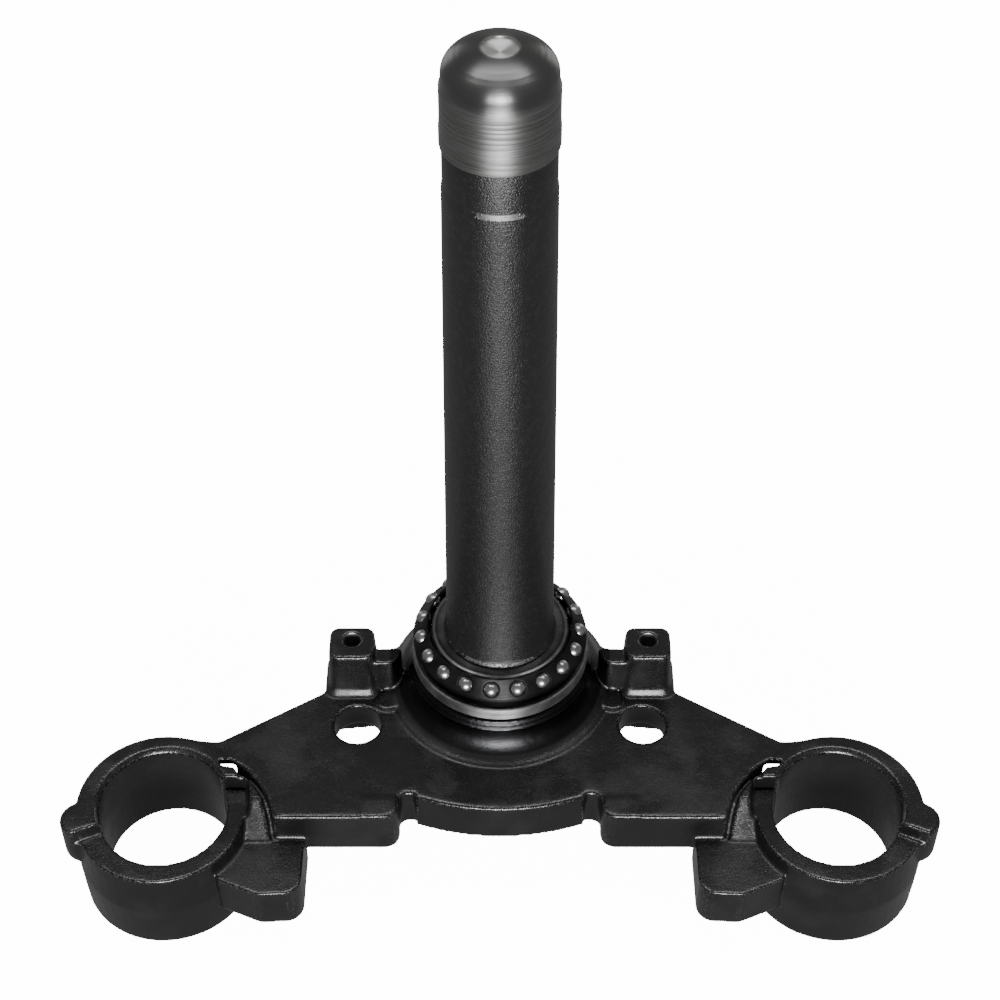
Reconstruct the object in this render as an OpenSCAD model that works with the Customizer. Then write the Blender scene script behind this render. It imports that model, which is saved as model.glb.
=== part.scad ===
/* [Steering stem] */
// Height of the stem's crown above the underside of the bridge
stem_h = 246; // [240:1:300]
// Diameter of the lower bearing seat, pressed into the bridge
seat_d = 30; // [28:0.5:32]
// Diameter of the painted tube where its taper ends
tube_top_d = 27.3; // [26:0.1:28]
// Diameter of the upper bearing journal
journal_d = 26.8; // [24:0.1:27.2]
// Diameter of the bright collar above the journal
collar_d = 27.5; // [27:0.1:29]
// Diameter of the bore up through the tube
stem_bore_d = 20; // [12:0.5:22]

/* [Lower bearing] */
// Number of balls in the cage
ball_count = 19; // [16:1:20]
// Diameter of one ball
ball_d = 4.76; // [4.2:0.02:4.8]
// Diameter of the circle through the balls' centres
ball_circle_d = 44; // [43:0.5:46]
// Outer diameter of the seal ring under the bearing cone
seal_d = 50; // [48:0.5:52]

/* [Bridge] */
// Distance between the two fork tubes
fork_spacing = 186.4; // [180:0.2:200]
// Distance of the fork tubes in front of the stem
fork_offset = 44.1; // [42:0.1:46]
// Diameter of the fork tubes
fork_d = 35; // [33:0.5:36]
// Height of the clamps' rear halves and of the plate's upper face
bridge_h = 33; // [32:0.5:34]
// How far the clamps' front halves sit below the rear ones
half_step = 5; // [4:0.5:6]
// Depth of the rim round the plate
rim_h = 13; // [12:0.5:15]
// Thickness of the plate between its rims
web_h = 8; // [6:0.5:9]
// Height of the two threaded posts above the plate
post_h = 14.8; // [10:0.2:20]
// Diameter of the holes through the plate
plate_hole_d = 13.4; // [10:0.2:14]

/* [Hidden] */
$fn = 96;
over = 1;

seat_r = seat_d / 2;
journal_r = journal_d / 2;
collar_r = collar_d / 2;
crown_w = 9;
crown_h = 6.2;
crown_r = collar_r - 0.5;
dimple_h = 0.9;
journal_z = stem_h - 35;
collar_z = stem_h - 24.7;
bead = 0.5;

hub_r = 26.2;
hub_top_r = 25;
hub_low_r = 23;
hub_fillet = 8;
hub_base_r = 32.3;
hub_z = bridge_h + 10.8;

seal_z = hub_z;
seal_h = 4.8;
cone_z = seal_z + seal_h;
cone_h = 7.4;
ball_r = ball_d / 2;
ball_ring_r = ball_circle_d / 2;
ball_z = cone_z + 5.6;
race_r = ball_r + 0.12;
first_ball = -96.2;
cage_offset = 0.75;
cage_in = 2.9;
cage_out = 2.6;
cage_wall = 0.7;
cage_lip = 1;
pocket_r = ball_r + 0.04;
pocket_hole_r = ball_r - 0.13;

fork_x = fork_spacing / 2;
fork_y = -fork_offset;
bore_r = fork_d / 2;
chamfer = 1.2;
clamp_r = bore_r + 5.4;
parting_r = bore_r + 6.9;
foot_r = bore_r + 6.6;
clamp_shift = 0.8;
front_z = bridge_h - half_step;
spot_r = bore_r + 5.7;
spot_top_r = bore_r + 6.7;
split_y = 8.1;
outboard_a = 204;
slit_w = 0.9;

block_top = bridge_h - 10;
block_low = bridge_h - 24;
boss_top = bridge_h - 1;
boss_x = fork_x - 30.4;
boss_back = -31;
boss_front = -51;
boss_center = [-fork_x + 5.4, fork_y - 8.5];
boss_arc_r = 25.7;
tongue_r = 24.1;
filler_drop = 2;
bolt_x = fork_x - 23.4;
bolt_z = bridge_h - 16;
bolt_r = 4.25;
thread_r = 3.4;

front_r = 66.5;
front_reach = 46.6;
front_y = -49.3;
notch_x = 28;
notch_y = -41.1;
post_x = 42.4;
post_y = 0.7;
plate_z = bridge_h - 0.4;
pad_rim_h = 14.3;
post_bore_r = 2.5;
hole_x = 40.6;
hole_y = -16.9;

function ball_name(i) = str("ball_", i < 10 ? "0" : "", i);

// A closed outline of corners [x, y, radius], each rounded by an arc
function unit(v) = v / norm(v);
function flat(list) = [for (part = list) for (item = part) item];
function arc(c, r, a0, a1, n) =
    [for (i = [0:n]) c + r * [cos(a0 + (a1 - a0) * i / n), sin(a0 + (a1 - a0) * i / n)]];
function corner(p, q, s) =
    let (b = [q[0], q[1]])
    let (u = unit([p[0], p[1]] - b))
    let (w = unit([s[0], s[1]] - b))
    let (half = acos(u * w) / 2)
    let (m = b + unit(u + w) * q[2] / sin(half))
    let (start = b + u * q[2] / tan(half) - m)
    let (a0 = atan2(start[1], start[0]))
    let (turn = cross(u, w) < 0 ? 180 - 2 * half : 2 * half - 180)
    q[2] == 0 ? [b] : arc(m, q[2], a0, a0 + turn, 6);
function rounded(pts) =
    let (n = len(pts))
    flat([for (i = [0:n - 1]) corner(pts[(i + n - 1) % n], pts[i], pts[(i + 1) % n])]);

module both_sides() {
    children();
    mirror([1, 0, 0]) children();
}

module at_fork() {
    translate([-fork_x, fork_y, 0]) children();
}

// Turned from bar: press seat, long taper, bearing journal, collar and a domed crown
module steering_stem() {
    foot_z = cone_z + cone_h;
    outer = concat(
        [[seat_r, 0],
         [seat_r, foot_z],
         [seat_r + bead, foot_z + 0.3],
         [seat_r + bead, foot_z + 1.2],
         [seat_r + 0.1, foot_z + 3],
         [tube_top_d / 2 + 0.05, journal_z - 6],
         [tube_top_d / 2, journal_z - 1],
         [journal_r, journal_z + 0.6],
         [journal_r, collar_z],
         [collar_r - 0.3, collar_z],
         [collar_r + 0.2, collar_z + 0.9],
         [collar_r + 0.2, collar_z + 4.4],
         [collar_r, collar_z + 4.8],
         [collar_r, collar_z + 15.2],
         [crown_r, collar_z + 16]],
        [for (a = [0:10:90])
            [crown_r - crown_w + crown_w * cos(a), stem_h - crown_h + crown_h * sin(a)]],
        [for (a = [0:15:90])
            [(crown_r - crown_w) * cos(a), stem_h - dimple_h * sin(a)]]);
    bore = [[0, journal_z + 4], [stem_bore_d / 2, journal_z - 4], [stem_bore_d / 2, 0]];
    color("dimgray")
        rotate_extrude()
            polygon(concat(outer, bore));
}

// Pressed steel ring that closes the gap between the bridge and the steering head
module seal_ring() {
    r = seal_d / 2;
    color("lightgray")
        translate([0, 0, seal_z])
            rotate_extrude()
                polygon([[seat_r, 0], [r - 1.2, 0], [r - 1.2, 0.8], [r, 0.9], [r, seal_h - 0.3],
                         [r - 0.3, seal_h], [r - 0.9, seal_h], [r - 0.9, seal_h - 1.3],
                         [ball_ring_r + 1, seal_h - 1.3], [ball_ring_r + 0.8, seal_h],
                         [seat_r, seal_h]]);
}

// Lower bearing cone, ground with a track under the balls
module bearing_cone() {
    top = cone_z + cone_h;
    track = arc([ball_ring_r, ball_z], race_r, 300, 172, 10);
    land_r = ball_ring_r - race_r;
    color("silver")
        rotate_extrude()
            polygon(concat(
                [[seat_r, cone_z], [ball_ring_r + 1.6, cone_z], [ball_ring_r + 1.6, cone_z + 2]],
                track,
                [[land_r - 0.3, top - 0.6], [land_r - 1, top], [land_r - 2.6, top],
                 [land_r - 3.2, top - 1], [seat_r + bead, top - 1.2], [seat_r, top - 1.2]]));
}

module at_ball(i) {
    rotate([0, 0, first_ball + 360 * (i - 1) / ball_count])
        translate([ball_ring_r, 0, ball_z])
            children();
}

// Pressed steel cage: a cone of sheet with a rolled lip, pierced over each ball
module ball_cage() {
    s = sqrt(0.5);
    mid = [ball_ring_r, ball_z] + cage_offset * [s, s];
    out = cage_wall / 2 * [s, s];
    inner = mid - cage_in * [s, -s];
    outer = mid + cage_out * [s, -s];
    color("gray")
        difference() {
            rotate_extrude()
                polygon([inner + out, outer + out, [outer[0] + out[0], outer[1] - cage_lip],
                         [outer[0] - out[0] - 0.1, outer[1] - cage_lip], outer - out, inner - out]);
            for (i = [1:ball_count])
                at_ball(i) {
                    sphere(r = pocket_r, $fn = 48);
                    rotate([0, 45, 0])
                        cylinder(r = pocket_hole_r, h = 5, $fn = 48);
                }
        }
}

module ball(i) {
    color("whitesmoke")
        at_ball(i)
            sphere(r = ball_r, $fn = 32);
}

// Plan of the plate, left half, up to the line where the clamp's boss begins
module plate_half() {
    difference() {
        polygon(rounded([
            [0, notch_y, 0],
            [-notch_x, notch_y, 2.3],
            [-notch_x, front_y, 4],
            [-fork_x + 10, front_y, 0],
            [-fork_x, fork_y, 0],
            [-fork_x + 5, fork_y + 22, 0],
            [-fork_x + 13.5, fork_y + 20.8, 4],
            [-post_x - 7.6, -4.7, 3],
            [-post_x - 7.2, 8.2, 3.5],
            [-30, 12, 6],
            [-17, 24, 8],
            [0, 27, 0]]));
        translate(boss_center)
            circle(r = boss_arc_r);
    }
}

module plate_plan() {
    both_sides() plate_half();
    intersection() {
        translate([0, front_r - front_reach])
            circle(r = front_r);
        translate([-notch_x + 4.6, -2 * front_reach])
            square([2 * notch_x - 9.2, 2 * front_reach]);
    }
}

// Front edges beside the notches: they hang lower than the plate's rim and are a little raised
module front_pads() {
    both_sides() {
        translate([0, 0, plate_z - pad_rim_h])
            linear_extrude(pad_rim_h - 1)
                intersection() {
                    plate_half();
                    translate([-62, front_y - 1])
                        square([62 - notch_x + 1, 7]);
                }
        translate([0, 0, plate_z - 1])
            linear_extrude(1.3)
                polygon(rounded([
                    [-notch_x, -42.6, 1.5],
                    [-notch_x, front_y, 4],
                    [-38.6, front_y, 0],
                    [-37.8, -42.6, 0.5]]));
    }
}

// Cast pocket under the plate, inside its rim
module plate_pocket() {
    difference() {
        translate([0, 0, plate_z - rim_h - 2])
            linear_extrude(rim_h - web_h + 2)
                polygon(rounded([
                    [-33, front_y + 6, 3],
                    [-57, front_y + 6, 3],
                    [-58.5, -20, 4],
                    [-49, -9.2, 4],
                    [-31, -7, 3]]));
        cylinder(r = hub_base_r, h = bridge_h);
    }
}

module hub() {
    low = plate_z - rim_h;
    flare = arc([hub_r + hub_fillet, bridge_h + 7.7], hub_fillet, 255, 180, 8);
    rotate_extrude()
        polygon(concat(
            [[seat_r - 2, 0], [hub_low_r - 0.8, 0], [hub_low_r, 0.8],
             [hub_r - 0.6, low - 3], [hub_r + 2, low], [hub_base_r, low],
             [hub_base_r, bridge_h - 0.2]],
            flare,
            [[hub_r, hub_z - 2.5], [hub_r - 0.6, hub_z - 2], [hub_r - 0.6, hub_z - 1.2],
             [hub_top_r, hub_z - 0.8], [hub_top_r, hub_z], [seat_r - 2, hub_z]]));
}

// Round bearing wall of one clamp, drafted both ways from its parting line
module clamp_wall() {
    translate([-clamp_shift, 0, 0])
        rotate_extrude()
            polygon([[0, 0], [foot_r - 0.4, 0], [foot_r, 0.6], [parting_r, bridge_h * 0.45],
                     [clamp_r + 0.3, front_z], [clamp_r, bridge_h - 0.5],
                     [clamp_r - 0.4, bridge_h], [0, bridge_h]]);
}

// Plan of a clamp's rear or front half, divided square to the pinch bolt on the inboard side
module clamp_half(rear, z, h) {
    reach = 60;
    steps = 4;
    from = rear ? 30 : -10;
    to = rear ? outboard_a : outboard_a - 360;
    rim = [for (i = [0:steps]) let (a = from + (to - from) * i / steps) reach * [cos(a), sin(a)]];
    translate([0, 0, z])
        linear_extrude(h)
            polygon(concat([[0, 0], [14, split_y], [reach, split_y]], rim));
}

// Lug on the outboard side, level with the rear half
module clamp_ear() {
    r = 5.5;
    drop = 15.5;
    round = 3.5;
    translate([-22, -5.5, bridge_h - drop])
        rotate_extrude()
            polygon(concat(
                [[0, 0]],
                arc([r - round, round], round, 270, 360, 5),
                [[r, drop - 0.5], [r - 0.5, drop], [0, drop]]));
}

// Solid ear that the pinch bolt screws into, with a ramp down to the front block
module boss_side(drop) {
    ramp_y = -42;
    top = boss_top - drop;
    low = block_top - drop;
    translate([-fork_x + 13, 0, 0])
        rotate([90, 0, 90])
            linear_extrude(fork_x - 13 - boss_x + 2)
                polygon([[boss_back, block_low], [boss_back, top], [ramp_y, top],
                         [ramp_y - 8.6, low], [boss_front, low], [boss_front, block_low]]);
}

module clamp_boss() {
    intersection() {
        boss_side(0);
        translate([boss_center[0], boss_center[1], 0])
            cylinder(r = tongue_r, h = bridge_h);
    }
    intersection() {
        boss_side(filler_drop);
        translate([boss_center[0], boss_center[1], 0])
            cylinder(r = boss_arc_r + 0.2, h = bridge_h);
    }
    translate([-fork_x + 13, boss_front, block_low])
        cube([fork_x - 13 - boss_x, boss_back - boss_front, block_top - block_low - 0.5]);
}

module front_block() {
    translate([0, 0, block_low])
        linear_extrude(block_top - block_low)
            polygon(rounded([
                [-54.2, -46, 0],
                [-54.2, -67.2, 5],
                [-66, -67.8, 6],
                [-77.5, -62.8, 1],
                [-78, -50, 0]]));
}

// Opening behind the boss for the pinch bolt's head, drafted towards the rear
module head_pocket() {
    top = bridge_h - 1;
    roof = bridge_h - 10.4;
    left = -fork_x + 12.6;
    step_x = -74.2;
    right = -boss_x - 1;
    difference() {
        union() {
            translate([left, 0, 0])
                rotate([90, 0, 90])
                    linear_extrude(step_x - left)
                        polygon([[-31.8, bolt_z - 8], [-31.8, top], [-31, top],
                                 [-22, roof], [-10, roof], [-10, bolt_z - 10]]);
            translate([step_x - over, 0, 0])
                rotate([90, 0, 90])
                    linear_extrude(right - step_x + over)
                        polygon([[-31.8, bolt_z - 8], [-31.8, plate_z - web_h],
                                 [-10, plate_z - web_h], [-10, bolt_z - 10]]);
            intersection() {
                translate([0, 0, bridge_h - web_h - 0.6])
                    linear_extrude(bridge_h)
                        polygon([[-80.2, -30], [-79.4, -30.8], [-77.6, -31.8], [-74.4, -32.2],
                                 [-72.8, -34], [-71.4, -34.4], [-69, -34.2], [-72, -28],
                                 [-77.6, -29.6]]);
                translate([boss_center[0], boss_center[1], 0])
                    cylinder(r = boss_arc_r + 0.4, h = 2 * bridge_h);
            }
        }
        at_fork() cylinder(r = bore_r + 2.2, h = bridge_h + over);
    }
}

module clamp_cuts() {
    at_fork() {
        translate([0, 0, -over])
            cylinder(r = bore_r, h = bridge_h + 2 * over);
        translate([0, 0, bridge_h - chamfer])
            cylinder(r1 = bore_r, r2 = bore_r + chamfer * 2, h = chamfer * 2);
        // The front half's step is milled within the spot face
        intersection() {
            clamp_half(false, front_z, 20);
            union() {
                translate([0, 0, front_z])
                    cylinder(r1 = spot_r, r2 = spot_top_r + over / 4, h = half_step);
                translate([-40, -40, 0])
                    cube([40, 80, 60]);
            }
        }
        intersection() {
            clamp_half(true, -over, half_step + over);
            cylinder(r = parting_r + 2, h = 60, center = true);
        }
        translate([bore_r - 4, split_y - slit_w / 2, -over])
            cube([spot_r - bore_r + 3, slit_w, bridge_h + 2 * over]);
        translate([bore_r - 4, split_y - slit_w / 2, -over])
            cube([spot_r - bore_r + 8.5, slit_w, block_top]);
    }
}

module pinch_bolt_hole() {
    slit_y = fork_y + split_y;
    translate([-bolt_x, -25, bolt_z])
        rotate([90, 0, 0])
            cylinder(r = bolt_r, h = -25 - slit_y, $fn = 48);
    translate([-bolt_x, -30, bolt_z])
        rotate([90, 0, 0])
            cylinder(r = thread_r, h = 31, $fn = 48);
}

// One drafted post with a flared foot
module post() {
    module slab(w, d, r, z) {
        translate([0, 0, z])
            linear_extrude(0.2)
                polygon(rounded([[-w, -d, r], [w, -d, r], [w, d, r], [-w, d, r]]));
    }
    translate([-post_x, post_y, 0]) {
        hull() {
            slab(7.2, 6.8, 3, bridge_h - 0.6);
            slab(6.4, 5.8, 2.6, bridge_h + post_h - 0.2);
        }
        hull() {
            slab(8.3, 7.9, 3.5, bridge_h - 0.6);
            slab(7.1, 6.7, 3, bridge_h + 1.4);
        }
    }
}

// Low steering stop between the post and the hub, with a round pad before it
module stop_lump() {
    top = 12;
    low = bridge_h - over;
    translate([0, 0, low])
        linear_extrude(top + over)
            polygon(rounded([[-38, -4.7, 0], [-28.2, -4.7, 4.6], [-28.2, 0.9, 0.7], [-38, 0.9, 0]]));
    translate([-32.3, -8.6, low])
        cylinder(r = 3.4, h = over + 0.4);
}

// One casting: plate, hub, both clamps, posts and stops
module bottom_bridge() {
    color("#26272a")
        difference() {
            union() {
                translate([0, 0, plate_z - rim_h])
                    linear_extrude(rim_h)
                        plate_plan();
                front_pads();
                hub();
                both_sides() {
                    at_fork() {
                        clamp_wall();
                        difference() {
                            clamp_ear();
                            clamp_half(false, front_z, 20);
                        }
                    }
                    clamp_boss();
                    front_block();
                    post();
                    stop_lump();
                }
            }
            translate([0, 0, -over])
                cylinder(r = seat_r, h = hub_z + 2 * over);
            both_sides() {
                clamp_cuts();
                head_pocket();
                pinch_bolt_hole();
                plate_pocket();
                translate([-hole_x, hole_y, 0])
                    cylinder(r = plate_hole_d / 2, h = bridge_h + over);
                translate([-post_x, post_y + 1.2, bridge_h - 1])
                    cylinder(r = post_bore_r, h = post_h + 2, $fn = 48);
            }
        }
}

bottom_bridge();
steering_stem();
seal_ring();
bearing_cone();
ball_cage();
for (i = [1:ball_count])
    ball(i);
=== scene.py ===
"""A motorcycle's steering stem and bottom fork bridge, dressed over its solids and lit as in a studio."""

import math

import bpy
from bpy.props import FloatProperty, FloatVectorProperty, IntProperty, PointerProperty
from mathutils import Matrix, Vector


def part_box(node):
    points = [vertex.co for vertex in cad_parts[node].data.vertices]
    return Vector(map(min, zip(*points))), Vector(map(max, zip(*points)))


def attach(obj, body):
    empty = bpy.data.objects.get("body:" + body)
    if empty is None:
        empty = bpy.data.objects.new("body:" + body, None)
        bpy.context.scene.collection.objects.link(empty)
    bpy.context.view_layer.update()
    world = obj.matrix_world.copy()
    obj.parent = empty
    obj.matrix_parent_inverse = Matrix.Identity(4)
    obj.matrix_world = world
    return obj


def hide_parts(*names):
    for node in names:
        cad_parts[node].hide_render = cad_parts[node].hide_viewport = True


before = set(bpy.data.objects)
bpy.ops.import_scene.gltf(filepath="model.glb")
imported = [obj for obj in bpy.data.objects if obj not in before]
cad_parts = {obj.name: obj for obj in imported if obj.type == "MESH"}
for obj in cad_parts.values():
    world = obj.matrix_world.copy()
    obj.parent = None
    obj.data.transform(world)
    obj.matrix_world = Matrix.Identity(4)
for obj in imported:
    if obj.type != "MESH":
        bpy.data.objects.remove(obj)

bl_info = {
    "name": "Steering Stem",
    "version": (1, 0, 0),
    "blender": (4, 5, 0),
    "location": "View3D > Sidebar > Steering Stem",
    "description": "Builds the looks of a steering stem with its fork bridge and lower bearing",
    "category": "Add Mesh",
}

MM = 0.001

BRIDGE_BODY = "bridge"
BALLS_BODY = "bearing_balls"
BALL_NODES = sorted(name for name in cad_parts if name.startswith("ball_") and name != "ball_cage")

# The tapped posts of the casting
POST_X = 42.4 * MM
POST_Y = 1.9 * MM
POST_HALF = 8.5 * MM
POST_HEAD_FROM = 33.5 * MM
THREAD_RADIUS = 2.62 * MM
THREAD_FROM = 30.5 * MM

# The clamps and the ramps beside them
BORE_X = 93.2 * MM
BORE_Y = -44.1 * MM
CLAMP_FROM_X = 83.5 * MM
CLAMP_SKIN_FROM = 20.5 * MM
CLAMP_TOP = 34.5 * MM
RAMP_X = 73.8 * MM
RAMP_Y = -48 * MM
RAMP_RADIUS = 6.8 * MM
RAMP_FROM = 24 * MM

# The plate's front edge and the wall of the hub
FRONT_EDGE_Y = -40 * MM
FRONT_EDGE_HALF = 60.5 * MM
FRONT_EDGE_FROM = 28 * MM
FRONT_EDGE_TO = 34 * MM
HUB_RADIUS = 31.6 * MM
HUB_WALL_FROM = 34.1 * MM

# Where the stem and the cone change their finish, and where their painted shade and painted highlight begin
# Painted shade on the cone reaches up to this height
CONE_SHADE_BELOW = 51.5 * MM
BEAD_FROM = 56 * MM
BEAD_TO = 57.4 * MM
WORN_FROM = 209.2 * MM
WORN_TO = 211 * MM
BARE_FROM = 221.3 * MM
CROWN_FROM = 235.8 * MM
CROWN_TO = 239.3 * MM
DISH_FROM = 240.5 * MM
# The stem's front side, where the wear is made stronger as painted highlight
STEM_FRONT_Y = -12.4 * MM

# The turned pieces in millimetres, as their outlines are
SEAT_RADIUS = 15
STEM_BORE = 10
JOURNAL_RADIUS = 13.4
COLLAR_RADIUS = 13.93
GROOVED_RADIUS = 13.75
CROWN_RADIUS = 13.25
CROWN_FOOT = 239.8
DISH_RADIUS = 4.25
DISH_DEPTH = 1.3
STEM_TOP = 246
RING_RADIUS = 25
RING_FOOT = 43.8
RING_TOP = 48.6
CONE_RADIUS = 23.6
CONE_TOP = 56
BALL_CIRCLE_RADIUS = 22
BALL_CIRCLE_HEIGHT = 54.2
TRACK_RADIUS = 2.5

# How finely the pieces are made
COPY_WELD = 0.002 * MM
TURNED_WELD = 0.001 * MM
SPIN_STEPS = 180
BRIDGE_SHARE = 0.25
CAGE_VOXEL = 0.16 * MM
CAGE_PASSES = 2
CAGE_SHARE = 0.3

# Colours that belong to one small place each, some of them painted highlight and painted shade
# Painted highlight: the dish in the stem's top, far brighter than the turned steel
DISH_HIGHLIGHT = (0.62, 0.62, 0.61)
THREAD_STEEL = (0.3, 0.3, 0.3)
# Painted shade: near black on the cone below its track, in the gap under the cage
GAP_SHADE = (0.008, 0.008, 0.008)
# Painted shade: a dark metallic coat that dims the reflection on the hub's wall and the ramps
PAINTED_SHADE_COAT = (0.021, 0.021, 0.022)

# The lathe's marks
LATHE_LOOK = {"Anisotropic": 0.75, "Anisotropic Rotation": 0.25}
LATHE_STRETCH = (0.02, 0.02, 1)
LATHE_DEPTH = 0.03 * MM

# Where the lights point, and how bright the floor is
PART_MIDDLE = (0, 0, 0.12)
BRIDGE_MIDDLE = (0, 0, 0.05)
CORE_SHARE = 0.6
FLOOR_GLOW = 14.0

# The camera, as the photograph was taken
IMAGE_SIDE = 1000
FOCAL_PIXELS = 2032.5
SENSOR_MM = 36.0
CAMERA_PITCH = math.radians(45.393)
CAMERA_PLACE = (0.0, -0.3784, 0.4901)


class CastingSettings(bpy.types.PropertyGroup):
    """Sizes and colours of the painted pieces."""

    grain: FloatProperty(
        name="Grain", description="Size of the sand grain that shows through the paint",
        default=0.7 * MM, min=0.1 * MM, unit="LENGTH")
    relief: FloatProperty(
        name="Relief", description="Depth of the grain",
        default=0.12 * MM, min=0, unit="LENGTH")
    edge_voxel: FloatProperty(
        name="Edge softness", description="Step at which the casting's edges are rounded",
        default=0.4 * MM, min=0.3 * MM, unit="LENGTH")
    edge_passes: IntProperty(
        name="Edge passes", description="How many times the edges are rubbed down",
        default=4, min=0)
    paint: FloatVectorProperty(
        name="Paint", description="Colour of the black paint",
        default=(0.0045, 0.0045, 0.0048), size=3, min=0, max=1, subtype="COLOR")
    tube_paint: FloatVectorProperty(
        name="Tube paint", description="Colour of the paint on the tube",
        default=(0.006, 0.006, 0.0062), size=3, min=0, max=1, subtype="COLOR")


class SteelSettings(bpy.types.PropertyGroup):
    """Colours of the bare steel pieces."""

    turned: FloatVectorProperty(
        name="Turned steel", description="Colour of the bare turned steel",
        default=(0.2, 0.199, 0.197), size=3, min=0, max=1, subtype="COLOR")
    ground: FloatVectorProperty(
        name="Ground steel", description="Colour of the bearing's cone",
        default=(0.2, 0.2, 0.2), size=3, min=0, max=1, subtype="COLOR")
    cage: FloatVectorProperty(
        name="Cage steel", description="Colour of the dark pressed cage",
        default=(0.03, 0.03, 0.03), size=3, min=0, max=1, subtype="COLOR")
    ball: FloatVectorProperty(
        name="Ball steel", description="Colour of the polished balls",
        default=(0.4, 0.4, 0.41), size=3, min=0, max=1, subtype="COLOR")


class StageSettings(bpy.types.PropertyGroup):
    """The studio round the part."""

    floor_color: FloatVectorProperty(
        name="Floor", description="Colour of the pale floor",
        default=(0.93, 0.93, 0.93), size=3, min=0, max=1, subtype="COLOR")
    floor_side: FloatProperty(
        name="Floor side", description="Length of the floor's side",
        default=8.0, unit="LENGTH")
    front_power: FloatProperty(
        name="Front light", description="Power of the wide light low in front",
        default=19.0, unit="POWER")
    top_power: FloatProperty(
        name="Overhead light", description="Power of the light above the part",
        default=7.0, unit="POWER")
    rear_power: FloatProperty(
        name="Rear lights", description="Power of each of the two weak lights behind the part",
        default=1.4, unit="POWER")
    sky: FloatProperty(
        name="Sky", description="Strength of the even light from all round",
        default=0.28, min=0)


def clear_selection():
    """Nothing selected, nothing active, object mode."""
    if bpy.context.object and bpy.context.object.mode != "OBJECT":
        bpy.ops.object.mode_set(mode="OBJECT")
    bpy.ops.object.select_all(action="DESELECT")
    bpy.context.view_layer.objects.active = None


def pick(obj):
    """Only this object is selected and active."""
    clear_selection()
    obj.select_set(True)
    bpy.context.view_layer.objects.active = obj


def settle(obj):
    """The object's place goes into its mesh."""
    pick(obj)
    bpy.ops.object.transform_apply(location=True, rotation=True, scale=True)


def apply_modifier(obj, kind, **settings):
    """Adds one modifier with these settings and applies it."""
    pick(obj)
    bpy.ops.object.modifier_add(type=kind)
    modifier = obj.modifiers[-1]
    for name, value in settings.items():
        setattr(modifier, name, value)
    bpy.ops.object.modifier_apply(modifier=modifier.name)


def merged_copy(node, name):
    """A copy of one solid with its loose triangles joined, free of the frame."""
    pick(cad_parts[node])
    bpy.ops.object.duplicate()
    copy = bpy.context.object
    copy.parent = None
    for key in list(copy.keys()):
        if key.startswith("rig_"):
            del copy[key]
    copy.name = name
    copy.data.name = name
    bpy.ops.object.mode_set(mode="EDIT")
    bpy.ops.mesh.select_all(action="SELECT")
    bpy.ops.mesh.remove_doubles(threshold=COPY_WELD)
    bpy.ops.object.mode_set(mode="OBJECT")
    copy.hide_render = False
    return copy


def rub_round(obj, voxel, passes):
    """Remakes a solid's skin in even steps and rubs all its edges down."""
    apply_modifier(obj, "REMESH", mode="VOXEL", voxel_size=voxel, adaptivity=0.0)
    apply_modifier(obj, "SMOOTH", factor=0.5, iterations=passes)


def soften(obj, inside, passes):
    """Rubs a dense mesh down further where inside says so."""
    group = obj.vertex_groups.new(name=inside.__name__)
    group.add([vertex.index for vertex in obj.data.vertices if inside(vertex.co)], 1.0, "REPLACE")
    apply_modifier(obj, "SMOOTH", factor=0.5, iterations=passes, vertex_group=group.name)


def thin_out(obj, share):
    """Keeps only this share of a dense mesh's faces."""
    apply_modifier(obj, "DECIMATE", decimate_type="COLLAPSE", ratio=share)


def mark_edges(obj):
    """Stores how sharply the surface turns outwards at each vertex, in 1/m, as the attribute edge."""
    mesh = obj.data
    turns = [[] for _ in mesh.vertices]
    for line in mesh.edges:
        start, end = (mesh.vertices[index] for index in line.vertices)
        way = end.co - start.co
        turn = (end.normal - start.normal).dot(way) / max(way.length_squared, 1e-12)
        for index in line.vertices:
            turns[index].append(turn)
    stored = mesh.attributes.new("edge", "FLOAT", "POINT")
    stored.data.foreach_set("value", [sum(found) / max(len(found), 1) for found in turns])


def turned(name, outline):
    """A closed outline of (radius, height) points in millimetres, spun once round the stem's axis."""
    clear_selection()
    points = [Vector((radius * MM, 0, height * MM)) for radius, height in outline]
    bpy.ops.mesh.primitive_plane_add(size=0.1 * MM, location=points[0])
    piece = bpy.context.object
    piece.name = name
    piece.data.name = name
    settle(piece)
    bpy.ops.object.mode_set(mode="EDIT")
    bpy.ops.mesh.select_all(action="SELECT")
    bpy.ops.mesh.merge(type="CENTER")
    for here, there in zip(points, points[1:] + points[:1]):
        bpy.ops.mesh.extrude_vertices_move(TRANSFORM_OT_translate={"value": there - here})
    bpy.ops.mesh.select_all(action="SELECT")
    bpy.ops.mesh.remove_doubles(threshold=TURNED_WELD)
    bpy.ops.mesh.spin(steps=SPIN_STEPS, angle=math.tau, center=(0, 0, 0), axis=(0, 0, 1))
    bpy.ops.mesh.select_all(action="SELECT")
    bpy.ops.mesh.remove_doubles(threshold=TURNED_WELD)
    bpy.ops.mesh.normals_make_consistent(inside=False)
    bpy.ops.object.mode_set(mode="OBJECT")
    return piece


def arc(center, radii, start, end, count):
    """Points on an ellipse's arc in an outline, angles in degrees."""
    angles = [math.radians(start + (end - start) * i / count) for i in range(count + 1)]
    return [(center[0] + radii[0] * math.cos(a), center[1] + radii[1] * math.sin(a)) for a in angles]


def groove(radius, height, depth=0.05, half=0.14):
    """A fine turned groove in a straight wall that runs upwards."""
    return [(radius, height - half), (radius - depth, height), (radius, height + half)]


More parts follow.
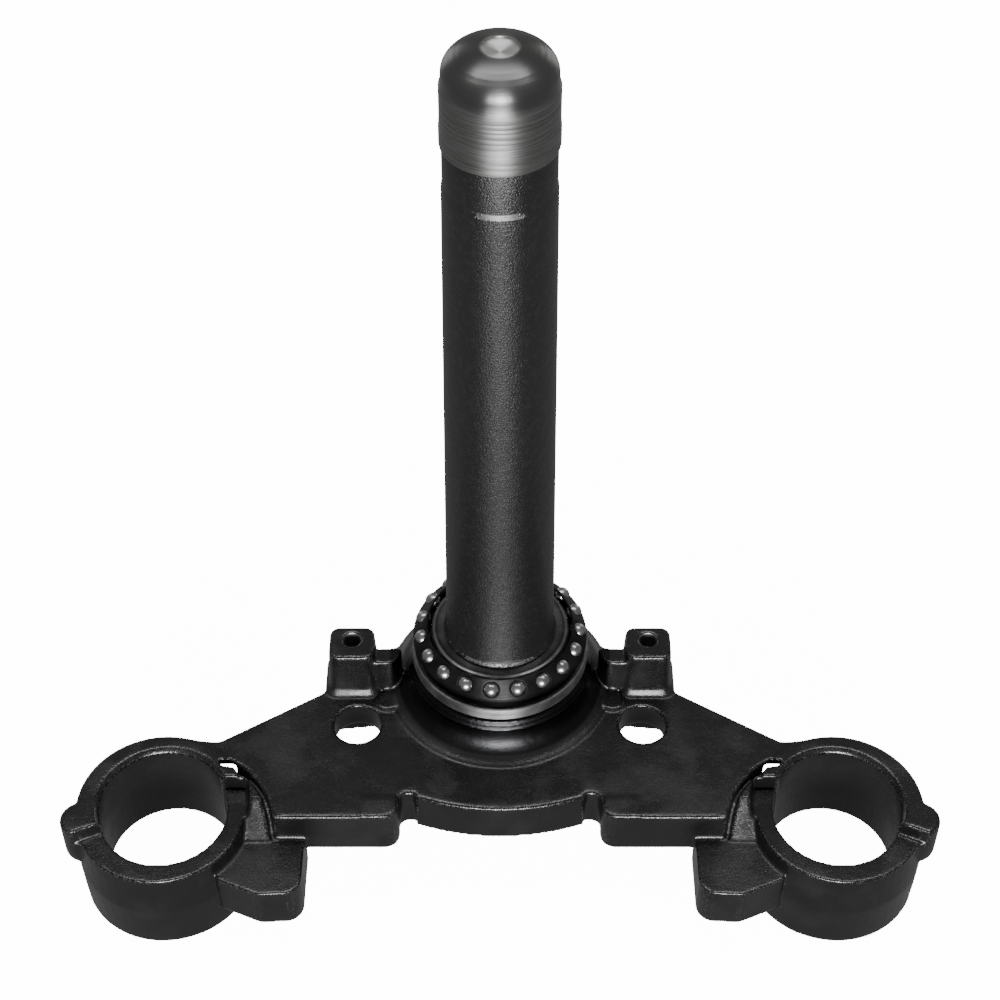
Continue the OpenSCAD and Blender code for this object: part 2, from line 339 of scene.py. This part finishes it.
def finish_piece(obj, body, material, nodes, angle=35):
    """Shades, paints and declares one piece."""
    pick(obj)
    bpy.ops.object.shade_smooth_by_angle(angle=math.radians(angle))
    obj.data.materials.clear()
    obj.data.materials.append(material)
    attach(obj, body)
    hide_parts(*nodes)


def toned(color, factor):
    """A colour made lighter or darker."""
    return tuple(part * factor for part in color)


class Value:
    """A number that varies over a surface, so that sums on it read as plain Python."""

    def __init__(self, shader, socket):
        self.shader = shader
        self.socket = socket

    def _math(self, kind, *numbers):
        return self.shader.node("ShaderNodeMath", {"operation": kind}, dict(enumerate(numbers)))

    def __abs__(self):
        return self._math("ABSOLUTE", self)

    def __add__(self, other):
        return self._math("ADD", self, other)

    __radd__ = __add__

    def __sub__(self, other):
        return self._math("SUBTRACT", self, other)

    def __rsub__(self, other):
        return self._math("SUBTRACT", other, self)

    def __mul__(self, other):
        return self._math("MULTIPLY", self, other)

    __rmul__ = __mul__

    def highest(self, other):
        return self._math("MAXIMUM", self, other)

    def step(self, low, high):
        """0 below low, 1 above high, smooth between."""
        settings = {"interpolation_type": "SMOOTHSTEP"}
        return self.shader.node("ShaderNodeMapRange", settings, {0: self, 1: low, 2: high})

    def above(self, level, fade):
        """0 below a level, 1 above it, with a soft border."""
        return self.step(level - fade, level + fade)

    def within(self, low, high):
        """1 in a narrow band of the surface, 0 below and above it."""
        return self.step(low, low + 0.3 * MM) * (1 - self.step(high - 0.4 * MM, high))


class Shader:
    """One material with a single main surface."""

    def __init__(self, name, **surface):
        self.material = bpy.data.materials.new(name)
        self.material.use_nodes = True
        self.tree = self.material.node_tree
        self.main = self.tree.nodes["Principled BSDF"]
        self.set(self.main, surface)

    def set(self, node, inputs):
        """Gives sockets their values, colours or links."""
        for key, value in inputs.items():
            socket = node.inputs[key]
            if isinstance(value, Value):
                self.tree.links.new(value.socket, socket)
            elif socket.type == "RGBA":
                socket.default_value = (*value, 1.0)
            else:
                socket.default_value = value

    def node(self, kind, settings=None, inputs=None, out=0):
        """Adds one node and gives the value at its output."""
        node = self.tree.nodes.new(kind)
        for name, value in (settings or {}).items():
            setattr(node, name, value)
        self.set(node, inputs or {})
        return Value(self, node.outputs[out])

    def place(self):
        """Where on the object the surface is."""
        return self.node("ShaderNodeTexCoord", out="Object")

    def along(self, axis):
        """The object's own X, Y or Z as a number, in metres."""
        return self.node("ShaderNodeSeparateXYZ", inputs={0: self.place()}, out=axis)

    def near(self, x, y, radius, fade):
        """1 inside an upright cylinder on either side of the middle, 0 outside it."""
        across = abs(self.along("X")) - x
        deep = self.along("Y") - y
        return 1 - (across * across + deep * deep).step((radius - fade) ** 2, (radius + fade) ** 2)

    def stored(self, name):
        """A number kept in the mesh."""
        return self.node("ShaderNodeAttribute", {"attribute_name": name}, out=2)

    def noise(self, size, detail=2.0, rough=0.5, stretch=(1, 1, 1)):
        """Noise whose lumps are about this size, 0 to 1."""
        vector = self.place()
        if stretch != (1, 1, 1):
            vector = self.node("ShaderNodeMapping", inputs={"Vector": vector, "Scale": stretch})
        inputs = {"Vector": vector, "Scale": 1 / size, "Detail": detail, "Roughness": rough}
        return self.node("ShaderNodeTexNoise", inputs=inputs)

    def blend(self, factor, low, high):
        """A colour between two colours."""
        return self.node("ShaderNodeMix", {"data_type": "RGBA"}, {0: factor, 6: low, 7: high}, out=2)

    def bump(self, height, depth):
        """The normal of a surface whose height varies."""
        return self.node("ShaderNodeBump", inputs={"Height": height, "Distance": depth, "Strength": 1.0})


def cast_paint(casting):
    """Black paint over a sand-cast surface, glossier at its edges with painted glints there; on the hub's
    wall and the ramps a dark, slightly rougher metallic coat is painted shade that dims their reflection.
    """
    shader = Shader("cast_paint", IOR=1.5)
    sand = shader.noise(casting.grain, detail=3.0, rough=0.6)
    lumps = shader.noise(casting.grain * 8)
    fine = shader.noise(casting.grain * 0.5, detail=1.0)
    rub = shader.noise(casting.grain * 20, detail=4.0).step(0.42, 0.68)
    height = sand * (0.3 + rub * 0.5) + lumps * 0.9 + fine * 0.3
    edge = shader.stored("edge").step(60, 240)
    up = shader.along("Z")
    wall = shader.near(0, 0, HUB_RADIUS, 0.6 * MM) * up.above(HUB_WALL_FROM, 0.5 * MM)
    ramp = shader.near(RAMP_X, RAMP_Y, RAMP_RADIUS, 0.8 * MM) * up.above(RAMP_FROM, 0.4 * MM)
    # Painted shade: the hub's wall and, less, the ramps get a dark metallic coat that dims their reflection
    dark = wall.highest(ramp * 0.6)
    # Painted highlight: speckled metallic glints of thread-steel colour along the edges
    painted_glint = edge * shader.noise(casting.grain * 0.7, detail=1.0).step(0.52, 0.62) * (1 - dark) * 0.1
    thread = shader.near(POST_X, POST_Y, THREAD_RADIUS, 0.02 * MM) * up.above(THREAD_FROM, 0.5 * MM)
    # steel holds the real thread in the posts and the painted glints on the edges
    steel = thread.highest(painted_glint)
    paint = shader.blend(rub, casting.paint, toned(casting.paint, 1.5))
    dull = 0.2 + rub * 0.1 + sand * 0.1 + dark * 0.06
    shader.set(shader.main, {
        "Base Color": shader.blend(steel, shader.blend(dark, paint, PAINTED_SHADE_COAT), THREAD_STEEL),
        "Metallic": steel.highest(dark),
        "Roughness": dull * (1 - edge * 0.6) * (1 - thread) + thread * 0.45,
        "Normal": shader.bump(height, casting.relief),
    })
    return shader.material


def tube_finish(casting, steel):
    """Sanded black paint, worn through at the bead and the journal, and more so on the front side as painted
    highlight; bare turned steel above, darker on the crown as partly its polished finish and partly painted
    shade, with a painted highlight in the dish.
    """
    shader = Shader("tube_finish", IOR=1.5, **LATHE_LOOK)
    up = shader.along("Z")
    flecks = shader.noise(0.8 * MM)
    # Painted highlight: the wear at the journal and the bead is made stronger on the front side, where the
    # light's reflection lies
    front = 1 - shader.along("Y").above(STEM_FRONT_Y, 0.8 * MM)
    wear_and_highlight = up.within(WORN_FROM, WORN_TO) * (flecks + front * 0.5).step(0.75, 0.9)
    bead = up.within(BEAD_FROM, BEAD_TO) * (flecks + front * 0.2).step(0.6, 0.7)
    metal = up.above(BARE_FROM, 0.1 * MM).highest(wear_and_highlight.highest(bead))
    grain = shader.noise(casting.grain * 0.6, rough=0.6)
    pits = shader.noise(casting.grain * 2.4)
    paint = shader.blend(pits.step(0.45, 0.7), casting.tube_paint, toned(casting.tube_paint, 1.5))
    rings = shader.noise(0.25 * MM, rough=0.6, stretch=LATHE_STRETCH)
    streaks = shader.blend(rings.step(0.3, 0.7), toned(steel.turned, 0.8), toned(steel.turned, 1.3))
    # Painted highlight: the dish is coloured far brighter than the steel round it. The crown is darker,
    # partly its polished finish and partly painted shade that dims its reflection
    dish = shader.near(0, 0, 4 * MM, MM) * up.above(DISH_FROM, 0.5 * MM)
    crown = up.step(CROWN_FROM, CROWN_TO) * (1 - dish)
    skin = shader.blend(dish, shader.blend(crown, streaks, toned(steel.turned, 0.7)), DISH_HIGHLIGHT)
    paint_rough = (0.3 + grain * 0.1) * (1 - metal)
    steel_rough = (0.47 + rings * 0.1) * metal * (1 - crown * 0.35)
    height = (grain + pits * 0.3) * (1 - metal) + rings * metal * 0.16
    shader.set(shader.main, {
        "Base Color": shader.blend(metal, paint, skin),
        "Metallic": metal,
        "Roughness": paint_rough + steel_rough,
        "Normal": shader.bump(height, casting.relief * 1.2),
    })
    return shader.material


def turned_finish(name, color, rough, shade_below=0):
    """Bare steel with the fine rings of the lathe, painted near black below the given height as the shade in
    the gap under the cage.
    """
    shader = Shader(name, Metallic=1.0, **LATHE_LOOK)
    rings = shader.noise(0.3 * MM, rough=0.6, stretch=LATHE_STRETCH)
    stain = shader.noise(5 * MM, detail=3.0)
    shade = shader.blend(stain.step(0.35, 0.7), toned(color, 0.75), toned(color, 1.2))
    # Painted shade: below this height the cone is painted near black, as the gap under the cage lies in
    # shade
    unshaded = shader.along("Z").above(shade_below, 0.2 * MM)
    shader.set(shader.main, {
        "Base Color": shader.blend(unshaded, GAP_SHADE, shade),
        "Roughness": rough + rings * 0.15,
        "Normal": shader.bump(rings, LATHE_DEPTH),
    })
    return shader.material


def polished_finish(color):
    """Polished ball steel."""
    shader = Shader("polished_balls", Metallic=1.0, Roughness=0.27)
    smear = shader.noise(1.6 * MM)
    shader.set(shader.main, {"Base Color": shader.blend(smear.step(0.3, 0.8), color, toned(color, 0.7))})
    return shader.material


def front_edge(at):
    """Whether a point is on the curved front edge of the plate."""
    return at.y < FRONT_EDGE_Y and abs(at.x) < FRONT_EDGE_HALF and FRONT_EDGE_FROM < at.z < FRONT_EDGE_TO


def post_head(at):
    """Whether a point is on the head of a post."""
    return max(abs(abs(at.x) - POST_X), abs(at.y)) < POST_HALF and at.z > POST_HEAD_FROM


def clamp_skin(at):
    """Whether a point is on the outside of a clamp."""
    from_bore = math.hypot(abs(at.x) - BORE_X, at.y - BORE_Y)
    return abs(at.x) > CLAMP_FROM_X and at.z < CLAMP_TOP and from_bore > CLAMP_SKIN_FROM


class STEM_OT_casting(bpy.types.Operator):
    """Casts the bridge: its solid with every edge and inner corner rubbed round"""

    bl_idname = "stem.casting"
    bl_label = "Cast bridge"

    def execute(self, context):
        casting = context.scene.stem_casting
        bridge = merged_copy("bottom_bridge", "cast_bridge")
        rub_round(bridge, casting.edge_voxel, casting.edge_passes)
        soften(bridge, front_edge, passes=26)
        soften(bridge, post_head, passes=10)
        soften(bridge, clamp_skin, passes=8)
        thin_out(bridge, BRIDGE_SHARE)
        mark_edges(bridge)
        finish_piece(bridge, BRIDGE_BODY, cast_paint(casting), ["bottom_bridge"], angle=60)
        return {"FINISHED"}


def crown_outline():
    """The domed crown with two fine nicks in it, and the shallow dish in its top."""
    radii = (CROWN_RADIUS - DISH_RADIUS, STEM_TOP - CROWN_FOOT)
    dome = arc((DISH_RADIUS, CROWN_FOOT), radii, 0, 90, 24)
    for number, nick in ((11, 0.04), (14, 0.03)):
        radius, height = dome[number]
        dome[number] = (radius - nick, height - 0.06)
    dish = arc((0, STEM_TOP), (DISH_RADIUS, -DISH_DEPTH), 0, 90, 8)
    return dome + dish[1:]


def stem_outline():
    """The stem from its foot up its outside to the crown, and down its closed bore."""
    seat = [(SEAT_RADIUS, 0.5), (SEAT_RADIUS, 55.9)]
    bead = [(15.3, 55.8), (15.75, 56.1), (15.85, 56.4), (15.75, 56.8), (15.4, 57.2)]
    taper = [(15.1, 58.2), (14.72, 98), (14.22, 151), (13.7, 205), (13.65, 209.2), (13.6, 209.6)]
    journal = [(13.46, 210.6), (JOURNAL_RADIUS, 211.2), (JOURNAL_RADIUS, 220.9), (13.3, 221.3)]
    collar = [(13.6, 221.32), (13.85, 221.5), (COLLAR_RADIUS, 221.9)]
    collar += groove(COLLAR_RADIUS, 223.1) + groove(COLLAR_RADIUS, 224.6)
    collar += [(COLLAR_RADIUS, 226.1), (13.88, 226.3), (13.76, 228.2), (13.66, 228.45)]
    grooved = [(GROOVED_RADIUS, 228.7)]
    for height, depth in ((229.8, 0.1), (231.2, 0.16), (232.6, 0.1), (233.8, 0.16), (235.0, 0.1)):
        grooved += groove(GROOVED_RADIUS, height, depth)
    shoulder = [(GROOVED_RADIUS, 236.4), (13.7, 236.6), (13.33, 237.3), (CROWN_RADIUS, 237.6)]
    bore = [(0, 215), (STEM_BORE, 207), (STEM_BORE, 0.5), (STEM_BORE + 0.5, 0), (SEAT_RADIUS - 0.5, 0)]
    return seat + bead + taper + journal + collar + grooved + shoulder + crown_outline() + bore


def ring_outline():
    """The seal ring, with a fine groove round its rim and a wide one in its top."""
    foot = [(SEAT_RADIUS, RING_FOOT), (23.8, RING_FOOT), (23.8, 44.6), (24.8, 44.7), (RING_RADIUS, 44.9)]
    rim = groove(RING_RADIUS, 46.35, 0.04, 0.15) + [(RING_RADIUS, 48.2), (24.9, 48.45), (24.7, 48.58)]
    top = [(24.3, 48.58), (24.12, 48.45), (24.05, 47.4), (23.05, 47.3), (22.85, 48.5), (22.6, RING_TOP)]
    return foot + rim + top + [(SEAT_RADIUS, RING_TOP)]


def cone_outline():
    """The cone, with the ground track that the balls lie in."""
    foot = [(SEAT_RADIUS, RING_TOP), (CONE_RADIUS - 0.2, RING_TOP), (CONE_RADIUS, 48.8), (CONE_RADIUS, 50.5)]
    track = arc((BALL_CIRCLE_RADIUS, BALL_CIRCLE_HEIGHT), (TRACK_RADIUS, TRACK_RADIUS), 300, 172, 20)
    lip = [(19.45, 54.9), (19.4, 55.5), (19.2, 55.85), (18.9, CONE_TOP), (18.3, CONE_TOP), (18.05, 55.8)]
    return foot + track + lip + [(17.4, 55.55), (16.2, 55.4), (SEAT_RADIUS, 55.4)]


class STEM_OT_tube(bpy.types.Operator):
    """Turns the stem again from a finer outline and finishes it"""

    bl_idname = "stem.tube"
    bl_label = "Turn stem"

    def execute(self, context):
        tube = turned("turned_stem", stem_outline())
        material = tube_finish(context.scene.stem_casting, context.scene.stem_steel)
        finish_piece(tube, BRIDGE_BODY, material, ["steering_stem"], angle=50)
        return {"FINISHED"}


class STEM_OT_bearing(bpy.types.Operator):
    """Finishes the seal ring, the cone, the cage and the balls"""

    bl_idname = "stem.bearing"
    bl_label = "Fit bearing"

    def execute(self, context):
        steel = context.scene.stem_steel
        ring = turned("steel_seal_ring", ring_outline())
        ring_steel = turned_finish("seal_steel", toned(steel.turned, 1.2), rough=0.44)
        finish_piece(ring, BRIDGE_BODY, ring_steel, ["seal_ring"])
        cone = turned("ground_cone", cone_outline())
        cone_steel = turned_finish("cone_steel", steel.ground, rough=0.26, shade_below=CONE_SHADE_BELOW)
        finish_piece(cone, BRIDGE_BODY, cone_steel, ["bearing_cone"])
        cage = merged_copy("ball_cage", "pressed_cage")
        rub_round(cage, CAGE_VOXEL, CAGE_PASSES)
        thin_out(cage, CAGE_SHARE)
        cage_steel = turned_finish("cage_steel", steel.cage, rough=0.4)
        finish_piece(cage, BALLS_BODY, cage_steel, ["ball_cage"], angle=60)
        polish = polished_finish(steel.ball)
        for node in BALL_NODES:
            low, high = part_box(node)
            clear_selection()
            bpy.ops.mesh.primitive_uv_sphere_add(
                segments=40, ring_count=20, radius=(high.z - low.z) / 2, location=(low + high) / 2)
            ball = bpy.context.object
            ball.name = "polished_" + node
            settle(ball)
            finish_piece(ball, BALLS_BODY, polish, [node], angle=80)
        return {"FINISHED"}


def add_floor(stage):
    """A pale floor that neither lights the part nor shows in its gloss, and takes no shadow."""
    clear_selection()
    bpy.ops.mesh.primitive_plane_add(size=stage.floor_side, location=(0, 0, 0))
    floor = bpy.context.object
    floor.name = "pale_floor"
    shader = Shader("floor_paper", Roughness=0.9)
    shader.set(shader.main, {
        "Base Color": stage.floor_color,
        "Emission Color": (1, 1, 1),
        "Emission Strength": FLOOR_GLOW,
    })
    floor.data.materials.append(shader.material)
    floor.visible_glossy = False
    floor.visible_diffuse = False
    floor.visible_shadow = False


def add_light(name, place, target, size, power):
    """One soft rectangular light turned to a point."""
    clear_selection()
    bpy.ops.object.light_add(type="AREA", location=place)
    light = bpy.context.object
    light.name = name
    light.data.shape = "RECTANGLE"
    light.data.size, light.data.size_y = size
    light.data.energy = power
    aim = Vector(target) - Vector(place)
    light.rotation_euler = aim.to_track_quat("-Z", "Y").to_euler()


def add_sky(strength):
    """Even white light from all round."""
    world = bpy.data.worlds.new("studio")
    world.use_nodes = True
    background = world.node_tree.nodes["Background"]
    background.inputs["Color"].default_value = (1, 1, 1, 1)
    background.inputs["Strength"].default_value = strength
    bpy.context.scene.world = world


class STEM_OT_stage(bpy.types.Operator):
    """Sets out the floor and the studio lights"""

    bl_idname = "stem.stage"
    bl_label = "Set stage"

    def execute(self, context):
        stage = context.scene.stem_stage
        add_floor(stage)
        add_light("front_softbox", (-0.02, -1.2, 0.24), PART_MIDDLE, (0.85, 0.45), stage.front_power)
        add_light("front_core", (0.03, -1.15, 0.24), PART_MIDDLE, (0.3, 0.4), stage.front_power * CORE_SHARE)
        add_light("overhead_softbox", (0, 0.19, 1.2), BRIDGE_MIDDLE, (1.1, 0.3), stage.top_power)
        for side in (-1, 1):
            add_light("rear_softbox", (side * 0.7, 1.1, 0.3), PART_MIDDLE, (0.5, 0.8), stage.rear_power)
        add_sky(stage.sky)
        return {"FINISHED"}


class STEM_PT_panel(bpy.types.Panel):
    """Lists the steps and their settings"""

    bl_label = "Steering Stem"
    bl_idname = "STEM_PT_panel"
    bl_space_type = "VIEW_3D"
    bl_region_type = "UI"
    bl_category = "Steering Stem"

    def draw(self, context):
        for group in SETTINGS:
            settings = getattr(context.scene, group)
            for name in settings.__annotations__:
                self.layout.prop(settings, name)
        for operator in OPERATORS:
            self.layout.operator(operator.bl_idname)


SETTINGS = {"stem_casting": CastingSettings, "stem_steel": SteelSettings, "stem_stage": StageSettings}
OPERATORS = (STEM_OT_stage, STEM_OT_casting, STEM_OT_tube, STEM_OT_bearing)


def register():
    for cls in (*SETTINGS.values(), *OPERATORS, STEM_PT_panel):
        bpy.utils.register_class(cls)
    for name, cls in SETTINGS.items():
        setattr(bpy.types.Scene, name, PointerProperty(type=cls))


def unregister():
    for name in SETTINGS:
        delattr(bpy.types.Scene, name)
    for cls in (STEM_PT_panel, *reversed(OPERATORS), *reversed(SETTINGS.values())):
        bpy.utils.unregister_class(cls)


def add_camera():
    """The camera as the photograph was taken."""
    bpy.ops.object.camera_add(location=CAMERA_PLACE, rotation=(math.pi / 2 - CAMERA_PITCH, 0, 0))
    camera = bpy.context.object
    camera.name = "photograph_camera"
    camera.data.sensor_width = SENSOR_MM
    camera.data.lens = FOCAL_PIXELS * SENSOR_MM / IMAGE_SIDE
    camera.data.clip_start = 10 * MM
    bpy.context.scene.camera = camera


def main():
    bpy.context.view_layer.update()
    add_camera()
    register()
    bpy.ops.stem.stage()
    bpy.ops.stem.casting()
    bpy.ops.stem.tube()
    bpy.ops.stem.bearing()


if __name__ == "__main__":
    main()
